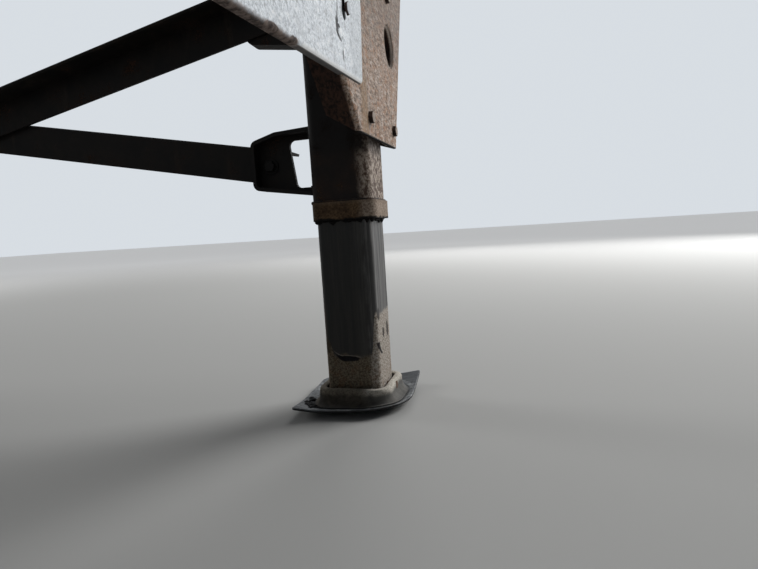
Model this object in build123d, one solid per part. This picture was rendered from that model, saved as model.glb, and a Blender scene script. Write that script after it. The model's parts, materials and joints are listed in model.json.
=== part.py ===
from build123d import *
import os

# Landing gear of a semi trailer: two square telescopic legs with rocking feet, the hangers that
# carry them under the floor, the crossed braces between them, and the crank drive.
# Frame: X across the trailer with +X to the kerb side, Y forward, Z up. The origin is midway
# between the legs on the plane where the hangers meet the cross-members. Millimetres.

# Overall layout
mount_height = 1182.0          # floor to the mounting plane
leg_track = 2000.0             # leg centre to leg centre
running_gap = 0.08             # radial gap of a turning shaft in its bore

# Outer tube and what is welded to it, heights above the floor
outer_width = 127.0
outer_wall = 5.0
outer_corner = 19.0
outer_bottom = 400.0
outer_top = 1110.0
collar_height = 37.0
collar_proud = 5.0
collar_shift = 2.5             # it sits a little outboard
cap_thickness = 6.0
cap_overhang = 4.0

# Inner tube
tube_gap = 0.35                # each side, between inner and outer tube
inner_wall = 6.0
inner_corner = 14.0
inner_bottom = 26.0
inner_top = 700.0

# Foot: socket, pin and dished shoe
shoe_width = 237.0
shoe_depth = 250.0
shoe_thickness = 6.0
shoe_flat_radius = 75.0        # the flat middle of the dish
shoe_rise = 0.28               # slope of the dish outside the flat
shoe_inboard = 8.0             # its centre from the leg's
shoe_forward = 17.0
shoe_turn = 2.8                # degrees
# Its corner radii, by outboard (1) or inboard (-1) and front (1) or rear (-1): two are worn round
shoe_corners = {(1, 1): 6.0, (-1, 1): 45.0, (-1, -1): 6.0, (1, -1): 100.0}
pin_height = 40.0
pin_radius = 8.0
socket_gap = 5.4               # each side, between inner tube and socket
socket_lip_height = 52.0
socket_lip_round = 6.0
socket_width = 159.0           # across its upright walls
socket_corner = 34.0
socket_base_width = 190.0
socket_base_corner = 60.0
socket_brim = 13.0             # height of the brim above the middle of the shoe
socket_flare = 9.0             # each side, where the walls meet the brim
socket_flare_height = 12.0

# Leg flange: the plate that bolts the leg to its hanger
flange_thickness = 10.0
flange_width = 246.0
flange_waist = 112.0
flange_bottom = 562.0
flange_top = 912.0
flange_ear = 62.0
flange_corner = 14.0

# Hanger: a pressed tray with its web outboard of the leg
hanger_sheet = 6.5
hanger_depth = 52.5
hanger_bottom = 550.0
hanger_bend = 9.0              # outer radius of its folds
hanger_front_bottom = 137.4
hanger_rear_bottom = 165.0
hanger_front_top = 392.4
hanger_rear_top = 450.0
hanger_knee_height = 825.0     # where the rear edge turns upright
hanger_rear_cut = 29.0         # rise of the rear fold's lower end towards its free edge
hanger_front_cut = 16.0        # and of the front fold's
hanger_runout = 60.0           # how far its hollow runs on below the open bottom
hanger_front_rise = 9.0        # the lower edge climbs towards the front
rim_forward = 119.5            # centre of the round hole, whose rim is pressed inboard
rim_height = 780.5
rim_radius = 43.5
rim_lip = 6.5
rim_bend = 6.0
frame_bolt_radius = 8.7
frame_bolt_spacing = 305.0     # cross-member spacing
frame_bolt_inset = 30.0        # from the outboard face of the web

# Rear gusset, bolted to the outside of the hanger
gusset_sheet = 6.0
gusset_front = 136.5
gusset_lean_start = 765.0      # height below which its front edge leans back
gusset_toe = 156.0             # the front edge's lower end
gusset_rear = 720.0
gusset_front_bottom = 632.0
gusset_rear_bottom = 586.5
gusset_flange = 45.0
gusset_lip = 12.5              # the lower edge is bent inboard behind the hanger
gusset_lip_start = 256.0
gusset_bend = 7.0              # outer radius
gusset_slot_width = 17.0
gusset_slot_length = 68.0
gusset_slot_columns = (243.0, 400.0)
gusset_slot_rows = (743.5, 908.5, 1073.5)
gusset_lowest_inner_slot = 800.0    # the second column has no slot below this

# Crossed braces and their brackets
brace_low = 526.0
brace_below_shaft = 204.0      # from the crank drive's centre to the upper ends of the braces
brace_bolt_inset = 170.0       # from the leg centre
brace_height = 76.0
brace_flange = 64.0
brace_wall = 6.0
brace_toe = 4.0                # rounding of the free edges
brace_overrun = 32.0           # of the brace past its bolt
bracket_plate = 8.0
bracket_reach = 203.0          # from the leg centre
bracket_tall = 142.0
bracket_short = 101.0
bracket_rib = 26.0
bracket_shoulder = 146.0       # where the top and bottom edges turn towards the tip
bracket_shoulder_tall = 133.0
bracket_window = 62.0
bracket_window_lean = 13.0     # how much narrower the window is at its foot
bracket_window_height = 101.0
bracket_window_corner = 12.0
bracket_corner = 16.0
spacer_radius = 24.0

# Crank drive
shaft_below_top = 70.0         # shaft centre below the top of the outer tube
shaft_radius = 12.7
cross_radius = 16.7
cross_wall = 3.6
gearbox_upper_radius = 62.0    # round the shaft
gearbox_lower_radius = 47.0    # round the smaller gear below it
gearbox_drop = 56.0            # from one to the other
gearbox_deep = 70.0
gearbox_cover = 9.0
gearbox_cover_lip = 7.0
boss_radius = 27.0
boss_length = 24.0
input_depth = 29.0             # of the input shaft inside the gearbox
shaft_end_gap = 6.0            # from a boss to the cross shaft
shaft_hole_gap = 4.0           # round the input shaft where it passes the hanger
stub_length = 60.0
stub_clearance = 0.5           # from a stub's end to the gears or the leg
sleeve_radius = 22.0
sleeve_length = 70.0
sleeve_inset = 40.0            # its middle from the cross tube's end
bearing_radius = 40.0
bearing_flange = 8.0
bearing_length = 34.0
crank_out = 255.0              # hub centre from the leg centre
hub_radius = 19.0
hub_length = 46.0
crank_rod_radius = 9.5
crank_throw = 330.0
crank_bend = 38.0
grip_length = 112.0
grip_radius = 16.0
grip_start = 52.0
grip_washer = 5.0
grip_end_gap = 2.0
grip_gap = 0.1                 # round the bar

# Places that follow
floor_z = -mount_height
leg_x = leg_track / 2
shoe_place = Pos(leg_x - shoe_inboard, shoe_forward, floor_z) * Rot(0, 0, shoe_turn)
outer_half = outer_width / 2
inner_width = outer_width - 2 * outer_wall - 2 * tube_gap
inner_half = inner_width / 2
shaft_z = floor_z + outer_top - shaft_below_top
brace_high = outer_top - shaft_below_top - brace_below_shaft
web_inner_x = leg_x + outer_half + flange_thickness
web_outer_x = web_inner_x + hanger_sheet
sides = {"right": 1, "left": -1}


def box_between(low, high):
    """A block from its low corner to its high corner."""
    size = [b - a for a, b in zip(low, high)]
    middle = [(a + b) / 2 for a, b in zip(low, high)]
    return Pos(*middle) * Box(*size)


def square_bar(width, corner, low, high, depth=None):
    """An upright bar with a rounded square section, between two heights, on the right leg."""
    face = RectangleRounded(width, depth or width, corner)
    return Pos(leg_x, 0, low) * extrude(face, high - low)


def rod_along_x(radius, start, end, height):
    """A round rod along X."""
    return Pos((start + end) / 2, 0, height) * Rot(0, 90, 0) * Cylinder(radius, end - start)


def on_side(shape, side):
    """The right-hand shape, or its mirror image for the left."""
    if sides[side] < 0:
        return mirror(shape, about=Plane.YZ)
    return shape


def outer_tube(side):
    low = floor_z + outer_bottom
    high = floor_z + outer_top
    bore = outer_width - 2 * outer_wall
    tube = square_bar(outer_width, outer_corner, low, high)
    tube -= square_bar(bore, outer_corner - outer_wall, low - 1, high + 1)
    if side == "left":
        reach = leg_x + outer_half + 1
        tube -= rod_along_x(shaft_radius + running_gap, leg_x - outer_half - 1, reach, shaft_z)
    return tube


def collar(side):
    low = floor_z + outer_bottom
    ring = square_bar(outer_width + 2 * collar_proud, outer_corner + collar_proud, low, low + collar_height)
    ring = Pos(collar_shift, 0, 0) * ring
    return ring - square_bar(outer_width, outer_corner, low - 1, low + collar_height + 1)


def tube_cap(side):
    low = floor_z + outer_top
    width = outer_width + 2 * cap_overhang
    return square_bar(width, outer_corner + cap_overhang, low, low + cap_thickness)


def inner_tube(side):
    low = floor_z + inner_bottom
    high = floor_z + inner_top
    bore = inner_width - 2 * inner_wall
    tube = square_bar(inner_width, inner_corner, low, high)
    tube -= square_bar(bore, inner_corner - inner_wall, low - 1, high + 1)
    reach = inner_half + 1
    hole = rod_along_x(pin_radius + running_gap, leg_x - reach, leg_x + reach, floor_z + pin_height)
    return tube - hole


def dish_section(low, high):
    """The ring-shaped slope of the dish between two offsets from its underside, turned about the leg."""
    reach = shoe_width
    far = (reach - shoe_flat_radius) * shoe_rise
    points = [(0, low), (shoe_flat_radius, low), (reach, far + low), (reach, far + high)]
    points += [(shoe_flat_radius, high), (0, high)]
    face = Plane.XZ * make_face(Polyline(*points, close=True))
    return shoe_place * revolve(face, Axis.Z)


def shoe_plate(side):
    face = Rectangle(shoe_width, shoe_depth)
    for (outboard, front), radius in shoe_corners.items():
        corner = face.vertices().sort_by(lambda vertex: outboard * vertex.X + front * vertex.Y)[-1]
        face = fillet(corner, radius)
    block = extrude(face, 2 * shoe_depth, both=True)
    return shoe_place * block & dish_section(0, shoe_thickness)


def foot_socket(side):
    """A pressed socket: upright walls with a rounded lip, flaring at their foot into a brim on the dish."""
    mouth = inner_width + 2 * socket_gap
    brim_top = floor_z + shoe_thickness + socket_brim
    lip_top = floor_z + socket_lip_height
    socket = square_bar(socket_width, socket_corner, brim_top - 1, lip_top)
    socket = fillet(socket.faces().sort_by(Axis.Z)[-1].edges(), socket_lip_round)
    slope = slope_degrees(socket_flare, socket_flare_height)
    foot = RectangleRounded(*[socket_width + 2 * socket_flare] * 2, socket_corner + socket_flare)
    socket += Pos(leg_x, 0, brim_top) * extrude(foot, socket_flare_height, taper=slope)
    socket += square_bar(socket_base_width, socket_base_corner, floor_z, brim_top)
    socket -= dish_section(-shoe_rise * shoe_width, shoe_thickness)
    socket -= square_bar(mouth, inner_corner + socket_gap, floor_z - 1, lip_top + 1)
    reach = socket_base_width / 2
    return socket - rod_along_x(pin_radius, leg_x - reach, leg_x + reach, floor_z + pin_height)


def foot_pin(side):
    reach = socket_width / 2
    return rod_along_x(pin_radius, leg_x - reach, leg_x + reach, floor_z + pin_height)


def leg_flange(side):
    """A plate with an ear at each corner, waisted between them to clear the hanger's round hole."""
    middle = floor_z + (flange_bottom + flange_top) / 2
    tall = flange_top - flange_bottom
    face = Rectangle(flange_width, tall)
    waist = tall - 2 * flange_ear
    for end in (-1, 1):
        notch_width = flange_width - flange_waist
        face -= Pos(end * flange_width / 2) * Rectangle(notch_width, waist)
    face = fillet(face.vertices(), flange_corner)
    return extrude(side_view(leg_x + outer_half) * Pos(0, middle) * face, flange_thickness)


def upright_slot(length, width, y, z):
    """A slot that stands upright in a plate facing along X, as a solid from the leg outboard."""
    face = Rot(0, 0, 90) * SlotOverall(length, width)
    return extrude(side_view(leg_x) * Pos(y, z) * face, outer_width)


def hanger_outline(drop):
    """The hanger's side view, with its open bottom lowered along its own slopes."""
    height = mount_height - hanger_bottom
    front_slope = (hanger_front_top - hanger_front_bottom) / height
    rear_slope = (hanger_rear_top - hanger_rear_bottom) / (hanger_knee_height - hanger_bottom)
    bottom = floor_z + hanger_bottom - drop
    points = [
        (hanger_front_bottom - front_slope * drop, bottom + hanger_front_rise),
        (hanger_front_top, 0),
        (-hanger_rear_top, 0),
        (-hanger_rear_top, floor_z + hanger_knee_height),
        (-hanger_rear_bottom + rear_slope * drop, bottom),
    ]
    return make_face(Polyline(*points, close=True))


def side_view(x):
    """A plane looking along X, its own x along Y and its own y up."""
    return Plane(origin=(x, 0, 0), x_dir=(0, 1, 0), z_dir=(1, 0, 0))


def hanger(side):
    """A tray pressed from sheet: a web with folds at its top, front and rear, open below."""
    flange_edge = web_outer_x - hanger_depth
    tray = extrude(side_view(flange_edge) * hanger_outline(0), hanger_depth)
    web_edges = tray.faces().sort_by(Axis.X)[-1].edges()
    lowest_fold = floor_z + hanger_bottom + hanger_front_rise
    folds = [edge for edge in web_edges if edge.center().Z > lowest_fold]
    tray = fillet(folds, hanger_bend)
    hollow = offset(hanger_outline(hanger_runout), -hanger_sheet, kind=Kind.INTERSECTION)
    hollow = extrude(side_view(flange_edge - 1) * hollow, hanger_depth - hanger_sheet + 1)
    rims = hollow.faces().sort_by(Axis.X)[-1].edges()
    tray -= fillet(rims, hanger_bend - hanger_sheet)
    rim_z = floor_z + rim_height
    forward = Pos(0, rim_forward, 0)
    tray += forward * rod_along_x(rim_radius + hanger_sheet, web_inner_x - rim_lip, web_outer_x - 1, rim_z)
    tray -= forward * rod_along_x(rim_radius, leg_x, web_outer_x + 1, rim_z)
    mouth = tray.faces().sort_by(Axis.X)[-1].inner_wires()[0]
    tray = fillet(mouth.edges(), rim_bend)
    front_low = hanger_bottom + hanger_front_rise
    for rearward, height, rise in ((1, hanger_bottom, hanger_rear_cut), (-1, front_low, hanger_front_cut)):
        low = floor_z + height
        cut = [(flange_edge - 1, low - hanger_bend), (web_inner_x, low - hanger_bend)]
        cut += [(web_inner_x, low), (flange_edge - 1, low + rise)]
        wedge = make_face(Polyline(*cut, close=True))
        tray -= extrude(Plane.XZ * wedge, rearward * hanger_rear_top)
    for y in (-frame_bolt_spacing, 0, frame_bolt_spacing):
        tray -= Pos(web_outer_x - frame_bolt_inset, y, 0) * Cylinder(frame_bolt_radius, 4 * hanger_sheet)
    if side == "left":
        tray -= rod_along_x(shaft_radius + shaft_hole_gap, leg_x, web_outer_x + 1, shaft_z)
    return tray


def gusset_edge(y):
    """Height of the gusset's sloping lower edge at a place along it."""
    slope = (gusset_front_bottom - gusset_rear_bottom) / (gusset_rear - gusset_toe)
    return floor_z + gusset_front_bottom + slope * (y + gusset_toe)


def rear_gusset(side):
    """A slotted plate bolted to the hanger, with a top flange and a narrow lip along its lower edge."""
    outer_x = web_outer_x + gusset_sheet
    lip_x = outer_x - gusset_lip
    outline = [
        (-gusset_front, 0),
        (-gusset_front, floor_z + gusset_lean_start),
        (-gusset_toe, gusset_edge(-gusset_toe)),
        (-gusset_rear, gusset_edge(-gusset_rear)),
        (-gusset_rear, 0),
    ]
    plate = extrude(side_view(lip_x) * make_face(Polyline(*outline, close=True)), gusset_lip)
    lower_edge = plate.faces().sort_by(Axis.X)[-1].edges().sort_by(Axis.Z)[0]
    plate = fillet(lower_edge, gusset_bend)
    behind = -gusset_rear - 1
    low_edge = [(y, gusset_edge(y) + gusset_sheet) for y in (behind, 0)]
    room = make_face(Polyline(*low_edge, (0, 1), (behind, 1), close=True))
    hollow = extrude(side_view(lip_x - 1) * room, gusset_lip - gusset_sheet + 1)
    inner_edge = hollow.faces().sort_by(Axis.X)[-1].edges().sort_by(Axis.Z)[0]
    plate -= fillet(inner_edge, gusset_bend - gusset_sheet)
    plate -= box_between((lip_x - 1, -gusset_lip_start, floor_z), (web_outer_x, 0, 0))
    plate += box_between((outer_x, -gusset_rear, -gusset_sheet), (outer_x + gusset_flange, -gusset_front, 0))
    for y in gusset_slot_columns:
        for z in gusset_slot_rows:
            if y == gusset_slot_columns[0] or z > gusset_lowest_inner_slot:
                plate -= upright_slot(gusset_slot_length, gusset_slot_width, -y, floor_z + z)
    return plate


def brace_bracket(height, ribs_rearward):
    """A plate on the inboard face of the leg, with ribs above and below and an arched window.

    Its ribs stand away from the brace that is bolted to its other face.
    """
    leg_face = leg_x - outer_half
    tip = leg_x - bracket_reach
    middle = floor_z + height
    shoulder = leg_x - bracket_shoulder
    points = [
        (leg_face, middle - bracket_tall / 2),
        (leg_face, middle + bracket_tall / 2),
        (shoulder, middle + bracket_shoulder_tall / 2),
        (tip, middle + bracket_short / 2),
        (tip, middle - bracket_short / 2),
    ]
    front = Plane(origin=(0, 0, 0), x_dir=(1, 0, 0), z_dir=(0, -1, 0))
    face = make_face(Polyline(*points, close=True))
    face = fillet(face.vertices().sort_by(Axis.X)[:2], bracket_corner)
    outline = extrude(front * face, bracket_plate + bracket_rib)
    pocket = offset(face, -bracket_plate, kind=Kind.INTERSECTION)
    bracket = outline - Pos(0, -bracket_plate, 0) * extrude(front * pocket, bracket_rib + 1)
    bracket -= box_between(
        (leg_face - bracket_plate - 1, -bracket_plate - bracket_rib - 1, middle - bracket_window_height / 2),
        (leg_face + 1, -bracket_plate, middle + bracket_window_height / 2),
    )
    half = bracket_window_height / 2
    window = [
        (leg_face + 1, middle - half),
        (leg_face + 1, middle + half),
        (leg_face - bracket_window, middle + half),
        (leg_face - bracket_window + bracket_window_lean, middle - half),
    ]
    window = make_face(Polyline(*window, close=True))
    window = fillet(window.vertices().sort_by(Axis.X)[:2], bracket_window_corner)
    bracket -= extrude(front * window, bracket_plate, both=True)
    if ribs_rearward:
        return bracket
    return mirror(bracket, about=Plane(origin=(0, -bracket_plate / 2, 0), z_dir=(0, 1, 0)))


def brace(lean, away):
    """An angle bar from one leg's low bracket to the other's high one.

    Its web lies against the bracket plates and its top flange points away from them.
    """
    run = leg_track - 2 * brace_bolt_inset
    rise = brace_high - brace_low
    length = (run ** 2 + rise ** 2) ** 0.5 + 2 * brace_overrun
    web = Pos(0, away * brace_wall / 2, 0) * Box(length, brace_wall, brace_height)
    level = (brace_height - brace_wall) / 2
    flange = Pos(0, away * brace_flange / 2, level) * Box(length, brace_flange, brace_wall)
    bar = web + flange
    heel = bar.edges().filter_by(Axis.X).sort_by(lambda edge: edge.center().Z - away * edge.center().Y)[-1]
    bar = fillet(heel, brace_wall * 0.9)
    edges = bar.edges().filter_by(Axis.X)
    toe = edges.sort_by(lambda edge: away * edge.center().Y + edge.center().Z * 0.1)[-2]
    bar = fillet(toe, brace_toe)
    angle = -lean * slope_degrees(rise, run)
    middle = floor_z + (brace_low + brace_high) / 2
    back = 0 if away > 0 else -bracket_plate
    return Pos(0, back, middle) * Rot(0, angle, 0) * bar


def slope_degrees(rise, run):
    """The angle of a slope, in degrees."""
    return Vector(run, rise, 0).get_angle(Vector(1, 0, 0))


def brace_spacer():
    middle = floor_z + (brace_low + brace_high) / 2
    return Pos(0, -bracket_plate / 2, middle) * Rot(90, 0, 0) * Cylinder(spacer_radius, bracket_plate)


def gear_case(start, end, margin=0):
    """A casting that wraps two gears, one above the other: two rounds joined by their tangents."""
    upper = Circle(gearbox_upper_radius + margin).edges()
    lower = (Pos(0, -gearbox_drop) * Circle(gearbox_lower_radius + margin)).edges()
    face = make_hull(upper + lower)
    return extrude(side_view(start) * Pos(0, shaft_z) * face, end - start)


gearbox_face = -leg_x + outer_half
gearbox_end = gearbox_face + gearbox_deep
cover_end = gearbox_end + gearbox_cover
boss_end = cover_end + boss_length


def gearbox_housing():
    body = gear_case(gearbox_face, gearbox_end)
    bore_end = gearbox_face + input_depth + 1
    return body - rod_along_x(shaft_radius + running_gap, gearbox_face - 1, bore_end, shaft_z)


def gearbox_cover_plate():
    cover = gear_case(gearbox_end, cover_end, gearbox_cover_lip)
    cover += rod_along_x(boss_radius, cover_end, boss_end, shaft_z)
    return cover - rod_along_x(shaft_radius + running_gap, gearbox_end - 1, boss_end + 1, shaft_z)


def end_bearing():
    """The bearing boss on the inboard face of the right leg."""
    face = leg_x - outer_half
    bearing = rod_along_x(bearing_radius, face - bearing_flange, face, shaft_z)
    bearing += rod_along_x(boss_radius, face - bearing_length, face - bearing_flange, shaft_z)
    return bearing - rod_along_x(shaft_radius + running_gap, face - bearing_length - 1, face + 1, shaft_z)


def crank_bearing():
    """The flanged bearing on the outboard face of the left hanger."""
    bearing = rod_along_x(bearing_radius, web_outer_x, web_outer_x + bearing_flange, shaft_z)
    bearing += rod_along_x(boss_radius, web_outer_x + bearing_flange, web_outer_x + bearing_length, shaft_z)
    reach = web_outer_x + bearing_length + 1
    bearing -= rod_along_x(shaft_radius + running_gap, web_outer_x - 1, reach, shaft_z)
    return mirror(bearing, about=Plane.YZ)


cross_start = boss_end + shaft_end_gap
cross_end = leg_x - outer_half - bearing_length - shaft_end_gap


def cross_shaft():
    """The tube that carries the drive across to the right leg, with a stub at each end."""
    tube_start = cross_start + stub_length / 2
    tube_end = cross_end - stub_length / 2
    tube = rod_along_x(cross_radius, tube_start, tube_end, shaft_z)
    tube -= rod_along_x(cross_radius - cross_wall, tube_start - 1, tube_end + 1, shaft_z)
    return tube


def drive_stub(side):
    """A solid end of the drive, from its bearing into the cross tube."""
    fit = cross_radius - cross_wall
    if side == "left":
        stub = rod_along_x(shaft_radius, gearbox_end + stub_clearance, cross_start + stub_length, shaft_z)
        stub += rod_along_x(fit, cross_start + stub_length / 2, cross_start + stub_length, shaft_z)
        return stub
    leg_face = leg_x - outer_half
    stub = rod_along_x(shaft_radius, cross_end - stub_length, leg_face - stub_clearance, shaft_z)
    stub += rod_along_x(fit, cross_end - stub_length, cross_end - stub_length / 2, shaft_z)
    return stub


def shaft_sleeve(side):
    middle = cross_start + stub_length / 2 + sleeve_inset
    if side == "right":
        middle = cross_end - stub_length / 2 - sleeve_inset
    start = middle - sleeve_length / 2
    end = middle + sleeve_length / 2
    sleeve = rod_along_x(sleeve_radius, start, end, shaft_z)
    return sleeve - rod_along_x(cross_radius, start - 1, end + 1, shaft_z)


def input_shaft():
    return rod_along_x(shaft_radius, -leg_x - crank_out, gearbox_face + input_depth, shaft_z)


def crank_arm():
    """Hub on the shaft's end, and a round bar bent down and out to the grip."""
    hub_x = -leg_x - crank_out
    hub = rod_along_x(hub_radius, hub_x - hub_length / 2, hub_x + hub_length / 2, shaft_z)
    hub -= rod_along_x(shaft_radius, hub_x, hub_x + hub_length, shaft_z)
    reach = crank_bend + grip_start + grip_length + grip_end_gap + grip_washer
    path = FilletPolyline(
        (hub_x - hub_length / 4, 0, shaft_z - hub_radius / 2),
        (hub_x - hub_length / 4, 0, shaft_z - crank_throw),
        (hub_x - hub_length / 4 - reach, 0, shaft_z - crank_throw),
        radius=crank_bend,
    )
    start = Plane(origin=path @ 0, z_dir=path % 0)
    bar = sweep(start * Circle(crank_rod_radius), path=path)
    end_x = hub_x - hub_length / 4 - reach
    washer = rod_along_x(grip_radius, end_x, end_x + grip_washer, shaft_z - crank_throw)
    return hub + bar + washer


def crank_grip():
    end_x = -leg_x - crank_out - hub_length / 4 - crank_bend - grip_start
    grip = rod_along_x(grip_radius, end_x - grip_length, end_x, shaft_z - crank_throw)
    bore = rod_along_x(crank_rod_radius + grip_gap, end_x - grip_length - 1, end_x + 1, shaft_z - crank_throw)
    return grip - bore


# One row per piece that each leg has: node name, shape of the right-hand piece
leg_pieces = {
    "outer_tube": outer_tube,
    "collar": collar,
    "tube_cap": tube_cap,
    "leg_flange": leg_flange,
    "hanger": hanger,
    "rear_gusset": rear_gusset,
    "bracket_low": lambda side: brace_bracket(brace_low, side == "right"),
    "bracket_high": lambda side: brace_bracket(brace_high, side == "left"),
    "inner_tube": inner_tube,
    "foot_socket": foot_socket,
    "foot_pin": foot_pin,
    "shoe_plate": shoe_plate,
}

pieces = {}
for side in sides:
    for name, make in leg_pieces.items():
        pieces[f"{name}_{side}"] = on_side(make(side), side)
    pieces[f"drive_stub_{side}"] = drive_stub(side)
    pieces[f"shaft_sleeve_{side}"] = shaft_sleeve(side)
pieces["brace_front"] = brace(-1, 1)
pieces["brace_rear"] = brace(1, -1)
pieces["brace_spacer"] = brace_spacer()
pieces["gearbox_housing"] = gearbox_housing()
pieces["gearbox_cover"] = gearbox_cover_plate()
pieces["end_bearing"] = end_bearing()
pieces["crank_bearing"] = crank_bearing()
pieces["cross_shaft"] = cross_shaft()
pieces["input_shaft"] = input_shaft()
pieces["crank_arm"] = crank_arm()
pieces["crank_grip"] = crank_grip()

os.makedirs("parts", exist_ok=True)
for name, shape in pieces.items():
    export_step(shape, f"parts/{name}.step")
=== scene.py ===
import json
import bmesh
import bpy
import numpy as np
from mathutils import Matrix, Vector


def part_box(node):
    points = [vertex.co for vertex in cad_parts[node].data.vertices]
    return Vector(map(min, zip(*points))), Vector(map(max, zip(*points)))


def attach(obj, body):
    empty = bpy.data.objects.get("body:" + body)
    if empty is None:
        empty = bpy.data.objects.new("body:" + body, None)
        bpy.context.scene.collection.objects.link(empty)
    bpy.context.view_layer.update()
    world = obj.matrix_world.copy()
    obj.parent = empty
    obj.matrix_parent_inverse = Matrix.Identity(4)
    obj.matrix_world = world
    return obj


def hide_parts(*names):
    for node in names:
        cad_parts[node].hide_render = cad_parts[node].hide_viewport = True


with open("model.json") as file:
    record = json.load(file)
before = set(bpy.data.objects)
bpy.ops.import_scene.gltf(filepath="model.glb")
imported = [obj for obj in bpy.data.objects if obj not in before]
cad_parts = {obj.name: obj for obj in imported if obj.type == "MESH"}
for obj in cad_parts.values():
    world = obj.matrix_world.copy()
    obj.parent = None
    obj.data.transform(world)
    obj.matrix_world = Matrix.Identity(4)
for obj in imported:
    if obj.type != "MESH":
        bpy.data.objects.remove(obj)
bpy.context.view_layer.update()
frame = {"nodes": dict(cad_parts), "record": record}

scene = bpy.context.scene

# Places read from the frame, in metres
tube_low, tube_high = np.array(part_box("outer_tube_right"))
inner_low, inner_high = np.array(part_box("inner_tube_right"))
collar_low, collar_high = np.array(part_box("collar_right"))
hanger_outer_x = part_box("hanger_right")[1][0]
floor_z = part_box("shoe_plate_right")[0][2]
leg_x = (tube_low[0] + tube_high[0]) / 2
tube_half = (tube_high[0] - tube_low[0]) / 2
inner_half = (inner_high[0] - inner_low[0]) / 2
plate_thick = 0.006
gusset_face_x = hanger_outer_x + plate_thick
bolted_x = leg_x + 0.0865    # between the right hanger's web and its gusset
sides = {"right": 1, "left": -1}


class Signal:
    """A shader socket in an expression: each operator adds a Math node to its material."""

    def __init__(self, finish, socket):
        self.finish = finish
        self.socket = socket

    def math(self, operation, *values):
        return self.finish.node("ShaderNodeMath", {"operation": operation}, *values)

    def __add__(self, other):
        return self.math("ADD", self, other)

    def __sub__(self, other):
        return self.math("SUBTRACT", self, other)

    def __rsub__(self, other):
        return self.math("SUBTRACT", other, self)

    def __mul__(self, other):
        return self.math("MULTIPLY", self, other)

    def __truediv__(self, other):
        return self.math("DIVIDE", self, other)

    def __pow__(self, other):
        return self.math("POWER", self, other)

    def __neg__(self):
        return self * -1.0

    def __abs__(self):
        return self.math("ABSOLUTE", self)

    __radd__ = __add__
    __rmul__ = __mul__

    def most(self, other):
        return self.math("MAXIMUM", self, other)

    def rise(self, start, end):
        """0 below start, 1 above end, and a smooth step between; falls instead if end is the lower."""
        settings = {"interpolation_type": "SMOOTHSTEP"}
        if end > start:
            return self.finish.node("ShaderNodeMapRange", settings, self, start, end, 0.0, 1.0)
        return self.finish.node("ShaderNodeMapRange", settings, self, end, start, 1.0, 0.0)


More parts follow.
